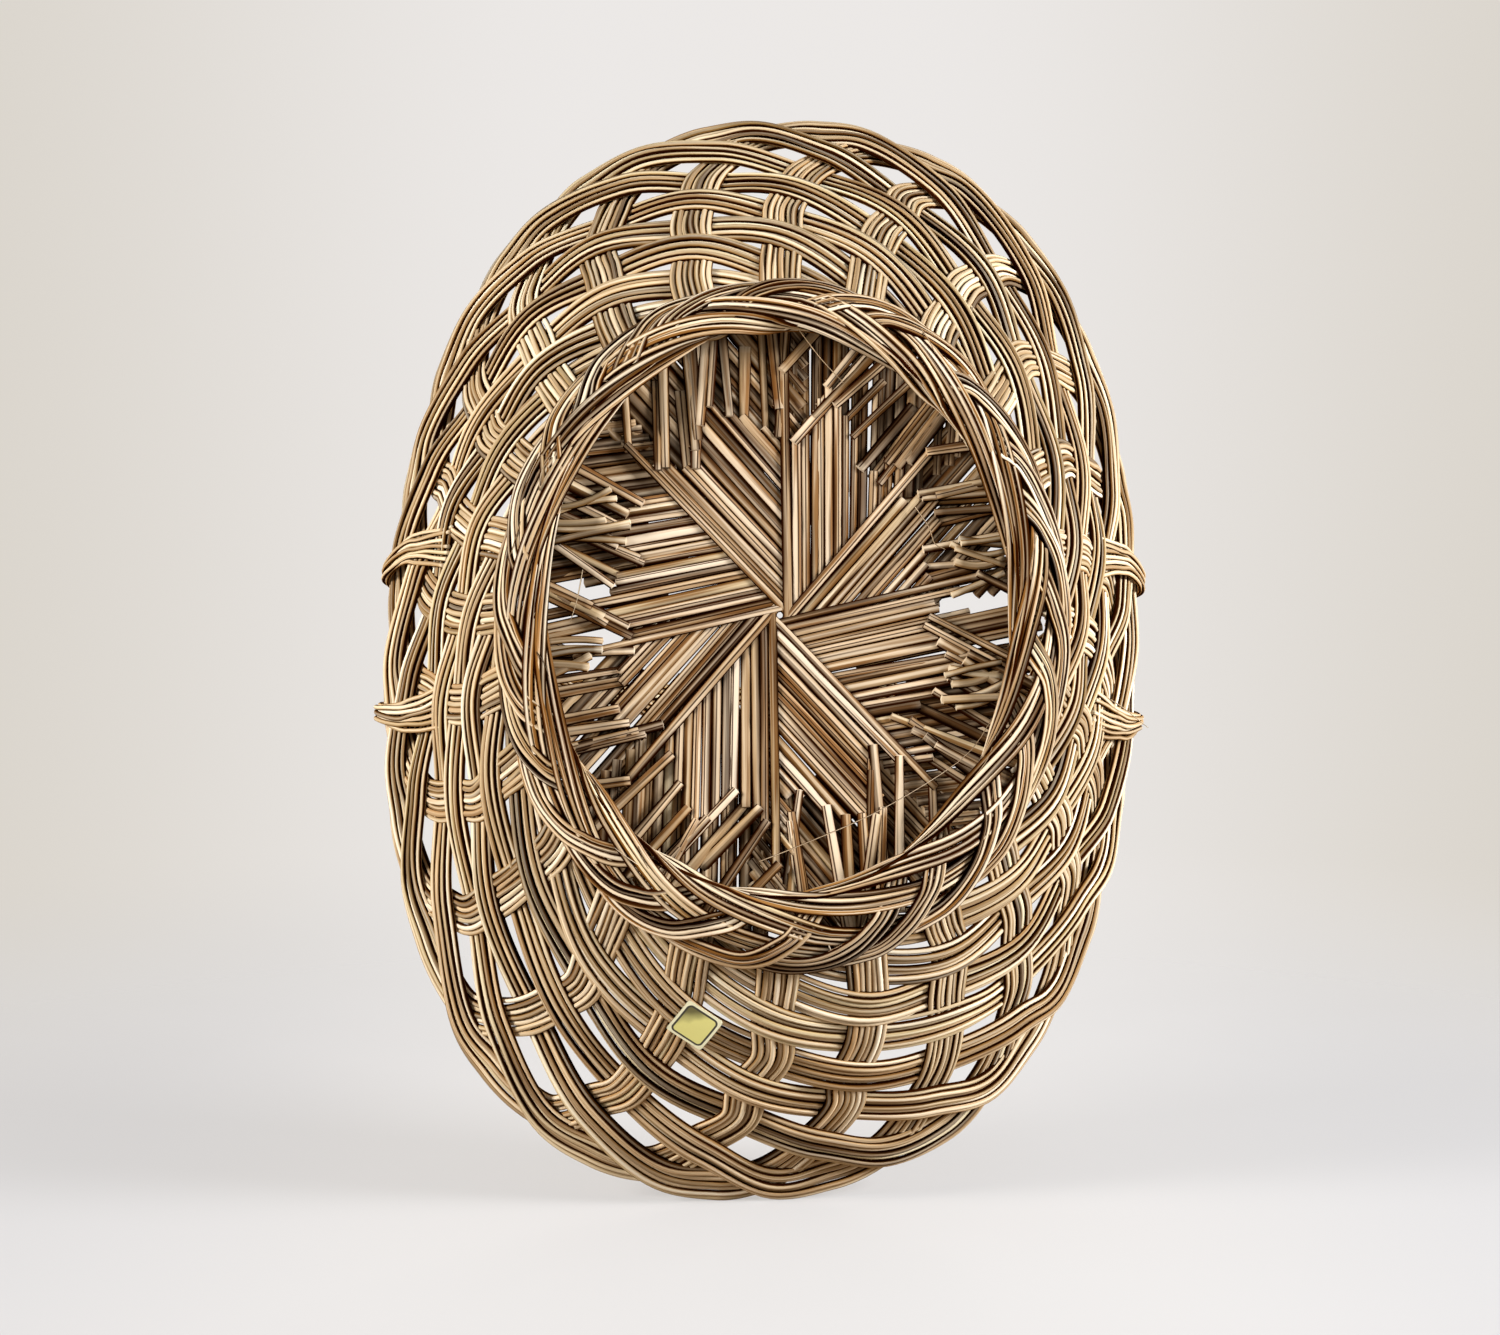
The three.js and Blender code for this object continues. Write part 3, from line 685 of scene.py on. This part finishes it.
def handleMiddle():
    levels = np.array(handle["legLevels"])
    lift = np.full(len(levels), handle["legLift"])
    leg, farLeg = (wallPoints(u, levels, lift)[0] for u in (handle["footU"], -handle["footU"]))
    farLeg = farLeg[::-1]
    angle = np.arange(1, handle["hoopSteps"]) / handle["hoopSteps"] * math.pi
    nearest = np.minimum(angle, math.pi - angle)
    join = np.sin(np.minimum(nearest / handle["twistStart"], 1) * math.pi / 2)
    rimX, rimZ = (np.where(angle < math.pi / 2, leg[-1, axis], farLeg[0, axis]) for axis in (0, 2))
    halfSpan, shift = (leg[-1, 1] - farLeg[0, 1]) / 2, (leg[-1, 1] + farLeg[0, 1]) / 2
    rise = handle["height"] - rimZ
    reach = rimX + (handle["twistReach"] - rimX) * join
    share = np.clip((angle - handle["twistStart"]) / (math.pi - 2 * handle["twistStart"]), 0, 1)
    twist = share * handle["twists"] * 2 * math.pi
    outward = unit(np.stack([rise * np.cos(angle), halfSpan * np.sin(angle)], -1))
    y = halfSpan * np.cos(angle) + shift * (1 - join) + outward[:, 0] * reach * np.sin(twist)
    z = rimZ + rise * np.sin(angle) + outward[:, 1] * reach * np.sin(twist)
    hoop = np.stack([reach * np.cos(twist), y, z], -1)
    return np.concatenate([leg, hoop, farLeg])


def handleRibs(index):
    rng = np.random.default_rng(handle["seed"] + index)
    steps = handle["steps"]
    middle = evenPath(handleMiddle() * ([-1, -1, 1] if index else [1, 1, 1]), steps)
    tangent = unit(np.gradient(middle, axis=0))
    first = unit(np.cross(tangent, [1.0, 0.0, 0.0]))
    second = np.cross(tangent, first)
    turn = np.linspace(0, handle["ownTurns"] * 2 * math.pi, steps)
    ribs = []
    for ring, count in handle["rings"]:
        for k in range(count):
            sway = wobble(rng, steps, handle["turnSway"], handle["turnWaves"])
            angle = 2 * math.pi * k / count + turn + sway
            spoke = first * np.cos(angle)[:, None] + second * np.sin(angle)[:, None]
            reach = ring + wobble(rng, steps, handle["sway"], handle["swayWaves"])
            points = middle + spoke * reach[:, None]
            radius = handle["ribWidth"] / 2 * rng.uniform(*handle["thinner"])
            ribs.append(makeRib(points, spoke, radius, drawTone(rng, handle["tone"]), 1, handle["paleEnds"]))
    return ribs


for i in range(2):
    node = f"handle_bundle_{i + 1}"
    ribPiece(f"handleBundle{i + 1}", handleRibs(i), handle["sides"], "handle_ribs", [node])
print("handle twisted")


# Lashings: ribs that come over the rim beside each handle foot and run down the wall among the weavers
lashing = {
    "spread": 0.8, "ribs": 7, "ribWidth": 2.0 * mm, "thinner": (0.85, 1.0), "clear": 9.2 * mm,
    # the ribs lie in two layers over the rim and fan out below it
    "narrow": 0.5, "fan": 1.3, "fanDepth": 0.5, "layer": 1.6 * mm,
    # sideways as a share of the clearance from the leg, height on the wall, height over it in millimetres
    "route": [
        (-0.2, 0.50, 0.8), (-0.15, 0.57, 1.5), (-0.1, 0.663, 2.9), (0, 0.735, 4.8), (0.1, 0.8, 6.4),
        (0.5, 0.93, 7.2), (0.9, 1.05, 6.4), (1.1, 1.1, 1.4), (1.15, 1.06, -4.8), (0.8, 0.95, -9.8),
        (0, 0.83, -13.6), (-0.85, 0.76, -10.2), (-1.2, 0.69, -5.4),
    ],
    "overSway": 0.25 * mm, "sway": 0.35 * mm, "swayWaves": 2, "steps": 70, "mostCut": 5, "sides": 8,
    "tone": (0.58, 0.2), "paleEnds": (0.9, 0.9), "seed": 150,
}


def lashingRibs(index):
    rng = np.random.default_rng(lashing["seed"] + index)
    quarter = wallShape["stakes"] / 4 * (1 if index < 2 else 3)
    direction = 1 if index % 2 == 0 else -1
    legU = quarter - direction * lashing["spread"]
    stakeLength = np.linalg.norm(wallFrame(legU, 1)[1])
    aside, height, lift = np.array(lashing["route"]).T
    knots = np.stack([legU + direction * aside * lashing["clear"] / stakeLength, height, lift], -1)
    steps, waves = lashing["steps"], lashing["swayWaves"]
    u, v, lift = evenPath(knots, steps).T
    middle, out = wallPoints(u, v, lift * mm)
    tangent = unit(np.gradient(middle, axis=0))
    around = unit(wallFrame(u, v)[1])
    side = unit(around - tangent * np.sum(around * tangent, axis=1, keepdims=True))
    normal = np.cross(side, tangent)
    normal *= np.sign(np.sum(normal[0] * out[0]))
    away = np.clip((1 - v) / lashing["fanDepth"], 0, 1) * (lift > 0)
    apart = lashing["ribWidth"] * (lashing["narrow"] + (lashing["fan"] - lashing["narrow"]) * away)
    ribs = []
    for k in range(lashing["ribs"]):
        over = (k % 2) * lashing["layer"] * (1 - away) + wobble(rng, steps, lashing["overSway"], waves)
        sideways = (k - (lashing["ribs"] - 1) / 2) * apart + wobble(rng, steps, lashing["sway"], waves)
        points = middle + side * sideways[:, None] + normal * over[:, None]
        cut = rng.integers(0, lashing["mostCut"])
        radius = lashing["ribWidth"] / 2 * rng.uniform(*lashing["thinner"])
        tone = drawTone(rng, lashing["tone"])
        ribs.append(makeRib(points[cut:], normal[cut:], radius, tone, 1, lashing["paleEnds"]))
    return ribs


for i in range(4):
    node = f"handle_lashing_{i + 1}"
    ribPiece(f"handleLashing{i + 1}", lashingRibs(i), lashing["sides"], "handle_ribs", [node])
print("handle feet lashed")


# Handle ends: the ribs of each handle foot, cut off where they come out beside the base
handleEnds = {
    # where each bunch comes out and where it is cut, across the base in millimetres
    "bunches": [
        ((32, -86), (32, -58)), ((-18, -87), (-18, -66)), ((24, 84), (25, 64)), ((-23, 83), (-26, 61)),
    ],
    "ribs": 6, "ribWidth": 3.0 * mm, "thinner": (0.7, 1.05), "flat": 1.15, "spread": 13.2 * mm,
    "lengths": (0.75, 1.1), "turnScatter": 0.16, "bow": 1.2 * mm, "bowTurn": 3, "points": 8, "sides": 8,
    "heights": (15.2 * mm, 12.6 * mm), "heightScatter": 0.9 * mm,
    "tone": (0.4, 0.2), "paleEnds": (0, 0.4), "seed": 400,
}


def handleEndRibs():
    e = handleEnds
    rng = np.random.default_rng(e["seed"])
    t = np.linspace(0, 1, e["points"])[:, None]
    ribs = []
    for root, tip in np.array(e["bunches"], float) * mm:
        run = unit(tip - root)
        step = np.array([-run[1], run[0]])
        for k in range(e["ribs"]):
            aside = (k / (e["ribs"] - 1) - 0.5) * e["spread"]
            length = np.linalg.norm(tip - root) * rng.uniform(*e["lengths"])
            turn = rng.normal(0, e["turnScatter"])
            bow = e["bow"] * np.sin(e["bowTurn"] * t) * rng.normal()
            flat = root + step * aside + (run + step * turn) * length * t + step * bow
            z = np.linspace(*e["heights"], e["points"]) + rng.normal(0, e["heightScatter"])
            radius = e["ribWidth"] / 2 * rng.uniform(*e["thinner"])
            tone = drawTone(rng, e["tone"])
            points = np.c_[flat, z]
            ribs.append(makeRib(points, downwards(e["points"]), radius, tone, e["flat"], e["paleEnds"]))
    return ribs


ribPiece("handleEnds", handleEndRibs(), handleEnds["sides"], "handle_ribs")


# Loose fibres: a few long ones across the base and the wall, and short ones on the foot
fibres = {
    # points of each long fibre, in millimetres
    "long": [
        [(-92, -8, 6.5), (-86, 7, 6), (-73, 36, 5), (-54, 66, 4.5), (-39, 77, 4)],
        [(41, 50, 12), (33, 55, 10.5), (27, 57, 10), (25, 61, 11)],
        [(106, 6, 5), (96, 14, 7), (87, 23, 9)],
        [(15, -73, 10), (3.5, -75, 8), (-5, -77.5, 8)],
        [(-20, 125, 60), (-26, 135, 60), (-34, 146, 62)],
    ],
    "width": 0.55 * mm, "tipWidth": 0.5, "points": 16, "sides": 5, "lowest": 0.4 * mm,
    # short ones start on the foot's strands and point to a place half a stake further
    "short": 30, "shortLength": (7 * mm, 17 * mm), "places": (0.1, 0.95), "aims": [-0.5, 0.5],
    "startLift": 1.6 * mm, "aimLift": 2.6 * mm, "bend": 1 * mm,
    "tone": (0.5, 0.25), "seed": 600,
}


def looseFibres():
    rng = np.random.default_rng(fibres["seed"])
    lines = [np.array(line) * mm for line in fibres["long"]]
    for k in range(fibres["short"]):
        s = np.array([rng.uniform(0, foot["strands"])])
        start = footPoints(s, rng.uniform(*fibres["places"], 1), np.array([fibres["startLift"]]))[0]
        aimS = s + rng.choice(fibres["aims"])
        aim = footPoints(aimS, rng.uniform(*fibres["places"], 1), np.array([fibres["aimLift"]]))[0]
        end = start + unit(aim - start) * rng.uniform(*fibres["shortLength"])
        lines.append(np.concatenate([start, (start + end) / 2 + rng.normal(0, fibres["bend"], 3), end]))
    radius = fibres["width"] / 2 * np.linspace(1, fibres["tipWidth"], fibres["points"])
    ribs = []
    for line in lines:
        points = evenPath(line, fibres["points"])
        points[:, 2] = np.maximum(points[:, 2], fibres["lowest"])
        ribs.append(makeRib(points, downwards(fibres["points"]), radius, drawTone(rng, fibres["tone"])))
    return ribs


ribPiece("looseFibres", looseFibres(), fibres["sides"], "foot_ribs")
print("loose ends added")


# Label: a thin square of gold foil with a dark border line and a painted reflection
label = {
    "u": 12.82, "level": 0.29, "lift": 3.6 * mm, "turn": 71,
    "side": 15.4 * mm, "thickness": 0.25 * mm, "corner": 0.06, "bow": 0.5 * mm, "cells": 12,
    # the shade colour is a painted reflection, dark olive towards one corner of the foil
    "gold": (0.80, 0.74, 0.26), "margin": (0.90, 0.86, 0.58), "shade": (0.16, 0.14, 0.05),
    "ink": (0.03, 0.025, 0.012),
    # the border is a rounded square: half its straight part and distances from it, as shares of the side
    "straight": 0.3, "marginFrom": (0.115, 0.12), "lineAt": 0.112, "lineWidth": (0.03, 0.02),
    "reflectionFrom": (0.62, 0.18), "sheenScale": 2.2, "sheenShare": 0.5,
    "metal": 0.55, "roughness": 0.3, "rougher": 0.2, "creaseScale": 7, "crease": 0.3, "creaseDepth": 0.4 * mm,
}


def labelFinish():
    material, f = newFinish("goldFoil")
    uv = f.node("ShaderNodeUVMap", {"uv_map": "UVMap"})
    x, y = f.split(uv)
    beyond = [f.maths("MAXIMUM", f.maths("ABSOLUTE", c - 0.5) - label["straight"], 0) for c in (x, y)]
    reach = f.maths("SQRT", beyond[0] * beyond[0] + beyond[1] * beyond[1])
    sheen = f.noise(uv, 1, label["sheenScale"])
    # painted reflection: the foil darkens towards one corner, broken up by noise
    darkReflection = f.remap(x + y - sheen * label["sheenShare"], *label["reflectionFrom"])
    gold = f.mixColour("MIX", darkReflection, label["gold"], label["shade"])
    framed = f.mixColour("MIX", f.remap(reach, *label["marginFrom"]), gold, label["margin"])
    line = f.remap(f.maths("ABSOLUTE", reach - label["lineAt"]), *label["lineWidth"])
    colour = f.mixColour("MIX", line, framed, label["ink"])
    crease = f.noise(uv, 2, label["creaseScale"])
    bump = f.node("ShaderNodeBump", None, {
        "Strength": label["crease"], "Distance": label["creaseDepth"], "Height": crease})
    surface = f.node("ShaderNodeBsdfPrincipled", None, {
        "Base Color": colour, "Metallic": (1 - line) * label["metal"],
        "Roughness": label["roughness"] + sheen * label["rougher"], "Normal": bump})
    f.node("ShaderNodeOutputMaterial", None, {"Surface": surface})
    return material


def addLabel():
    cells, side = label["cells"], label["side"]
    bpy.ops.object.select_all(action="DESELECT")
    bpy.ops.mesh.primitive_grid_add(x_subdivisions=cells, y_subdivisions=cells, size=side)
    piece = bpy.context.object
    piece.name = "foilLabel"
    for vertex in piece.data.vertices:
        x, y = abs(vertex.co.x) / (side / 2), abs(vertex.co.y) / (side / 2)
        if x > 0.99 and y > 0.99:  # one of the four corners
            vertex.co *= 1 - label["corner"] / 2
        vertex.co.z = -label["bow"] * x * x
    place, out = wallPoints(label["u"], label["level"], label["lift"])
    around = unit(wallFrame(label["u"], label["level"])[1])
    axes = Matrix((around, np.cross(out, around), out)).transposed().to_4x4()
    turn = Matrix.Rotation(math.radians(label["turn"]), 4, "Z")
    piece.data.transform(Matrix.Translation(place) @ axes @ turn)
    solid = piece.modifiers.new("foil", "SOLIDIFY")
    solid.thickness = label["thickness"]
    piece.data.materials.append(labelFinish())
    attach(piece, "root")
    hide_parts("foil_label")


addLabel()
print("label stuck on")


# Stage: camera, floor and light
camera = {
    "place": (-0.2, -0.0953, -1.1796), "right": (0.0028, 0.9975, -0.0708), "up": (0.9889, -0.0133, -0.1483),
    "lens": 78.94, "sensor": 36, "nearest": 10 * mm,
}


def addCamera():
    data = bpy.data.cameras.new("photoCamera")
    data.lens = camera["lens"]
    data.sensor_width = camera["sensor"]
    data.sensor_fit = "HORIZONTAL"
    data.clip_start = camera["nearest"]
    right = Vector(camera["right"]).normalized()
    up = Vector(camera["up"])
    up = (up - right * up.dot(right)).normalized()
    turn = Matrix((right, up, right.cross(up))).transposed()
    seen = bpy.data.objects.new("photoCamera", data)
    seen.matrix_world = Matrix.Translation(camera["place"]) @ turn.to_4x4()
    bpy.context.collection.objects.link(seen)
    bpy.context.scene.camera = seen
    return turn


cameraTurn = addCamera()


def sideShare(f, vector, low, high):  # 0 in the middle of the picture and 1 to both sides
    aside = f.vectorMaths("DOT_PRODUCT", vector, tuple(cameraTurn.col[0]), output=1)
    return f.remap(f.maths("ABSOLUTE", aside), low, high)


floor = {
    "tilt": 5, "radius": 1.6, "corners": 96, "fade": (0.2, 1.0), "glow": 0.65,
    "colour": (0.735, 0.712, 0.694), "grain": (0.9, 0.88, 0.86),
    "grainScale": 9, "grainFrom": (0.2, 0.8), "grainShare": 0.06,
    "side": (0.9, 0.905, 0.92), "sideFrom": (0.1, 0.32), "bounce": (0.43, 0.34, 0.25),
}


def floorFinish(middle):
    material, f = newFinish("floorPaper")
    place = f.node("ShaderNodeTexCoord", None, None, output=3)
    away = f.vectorMaths("DISTANCE", place, middle, output=1)
    isBack = f.node("ShaderNodeNewGeometry", None, None, output=6)
    grain = f.remap(f.noise(place, 2, floor["grainScale"]), *floor["grainFrom"], 0, floor["grainShare"])
    grained = f.mixColour("MULTIPLY", grain, floor["colour"], floor["grain"])
    # painted shade: the paper is a little darker to both sides
    aside = sideShare(f, f.vectorMaths("SUBTRACT", place, middle), *floor["sideFrom"])
    shade = f.mixColour("MULTIPLY", aside, grained, floor["side"])
    # it lights the basket less than it shows, and warmer
    seen = f.seenRays()
    paper = f.node("ShaderNodeBsdfDiffuse", None, {
        "Color": f.mixColour("MULTIPLY", 1 - seen, shade, floor["bounce"])})
    # most of the paper's brightness is its own, so that only a soft shadow shows on it
    glow = f.node("ShaderNodeEmission", None, {"Color": shade, "Strength": 1})
    lit = f.node("ShaderNodeMixShader", None, {0: seen * floor["glow"], 1: paper, 2: glow})
    clear = f.node("ShaderNodeBsdfTransparent")
    unseen = f.maths("MAXIMUM", isBack, f.remap(away, *floor["fade"]))
    surface = f.node("ShaderNodeMixShader", None, {0: unseen, 1: lit, 2: clear})
    f.node("ShaderNodeOutputMaterial", None, {"Surface": surface})
    return material


def addFloor():
    up, back = cameraTurn.col[1], cameraTurn.col[2]
    tilt = math.radians(floor["tilt"])
    normal = (up * math.cos(tilt) + back * math.sin(tilt)).normalized()
    meshes = [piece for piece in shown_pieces() if piece.type == "MESH"]
    corners = [piece.matrix_world @ vertex.co for piece in meshes for vertex in piece.data.vertices]
    lowest = min(corners, key=lambda p: p.dot(normal))
    bpy.ops.object.select_all(action="DESELECT")
    bpy.ops.mesh.primitive_circle_add(vertices=floor["corners"], radius=floor["radius"], fill_type="NGON")
    plane = bpy.context.object
    plane.name = "floor"
    turn = normal.to_track_quat("Z", "Y").to_matrix().to_4x4()
    plane.data.transform(Matrix.Translation(lowest) @ turn)
    plane.data.materials.append(floorFinish(tuple(lowest)))


addFloor()

light = {
    "world": 0.3, "worldColour": (1, 0.985, 0.965, 1), "lampSize": 0.45, "aim": (0, 0, 0.05),
    "backdrop": (0.838, 0.812, 0.795), "backdropSide": (0.70, 0.66, 0.60), "sideFrom": (0.04, 0.26),
    # place, power and colour of each lamp
    "lamps": {
        "keyLamp": ((0.33, 1.3, -0.6), 37.5, (0.96, 1.0, 1.07)),
        "fillLamp": ((0.33, -1.3, -0.6), 27.2, (1, 1, 1)),
        "topLamp": ((0.3, 0.4, 1.3), 12, (1, 1, 1)),
    },
}


def addWorld():
    world = bpy.data.worlds.new("studio")
    bpy.context.scene.world = world
    world.use_nodes = True
    f = Finish(world.node_tree)
    seen = f.seenRays()
    glow = f.node("ShaderNodeBackground", None, {"Color": light["worldColour"], "Strength": light["world"]})
    # painted shade: the backdrop darkens a little to both sides
    aside = sideShare(f, f.node("ShaderNodeTexCoord"), *light["sideFrom"])
    colour = f.mixColour("MIX", aside, light["backdrop"], light["backdropSide"])
    paper = f.node("ShaderNodeBackground", None, {"Color": colour, "Strength": 1})
    mixed = f.node("ShaderNodeMixShader", None, {0: seen, 1: glow, 2: paper})
    f.node("ShaderNodeOutputWorld", None, {"Surface": mixed})


def addLamp(name, place, power, colour):
    data = bpy.data.lights.new(name, "AREA")
    data.energy = power
    data.color = colour
    data.size = light["lampSize"]
    lamp = bpy.data.objects.new(name, data)
    aim = (Vector(light["aim"]) - Vector(place)).to_track_quat("-Z", "Y")
    lamp.matrix_world = Matrix.Translation(place) @ aim.to_matrix().to_4x4()
    bpy.context.collection.objects.link(lamp)


addWorld()
for name, settings in light["lamps"].items():
    addLamp(name, *settings)
bpy.context.scene.view_settings.view_transform = "Standard"
print("stage set")
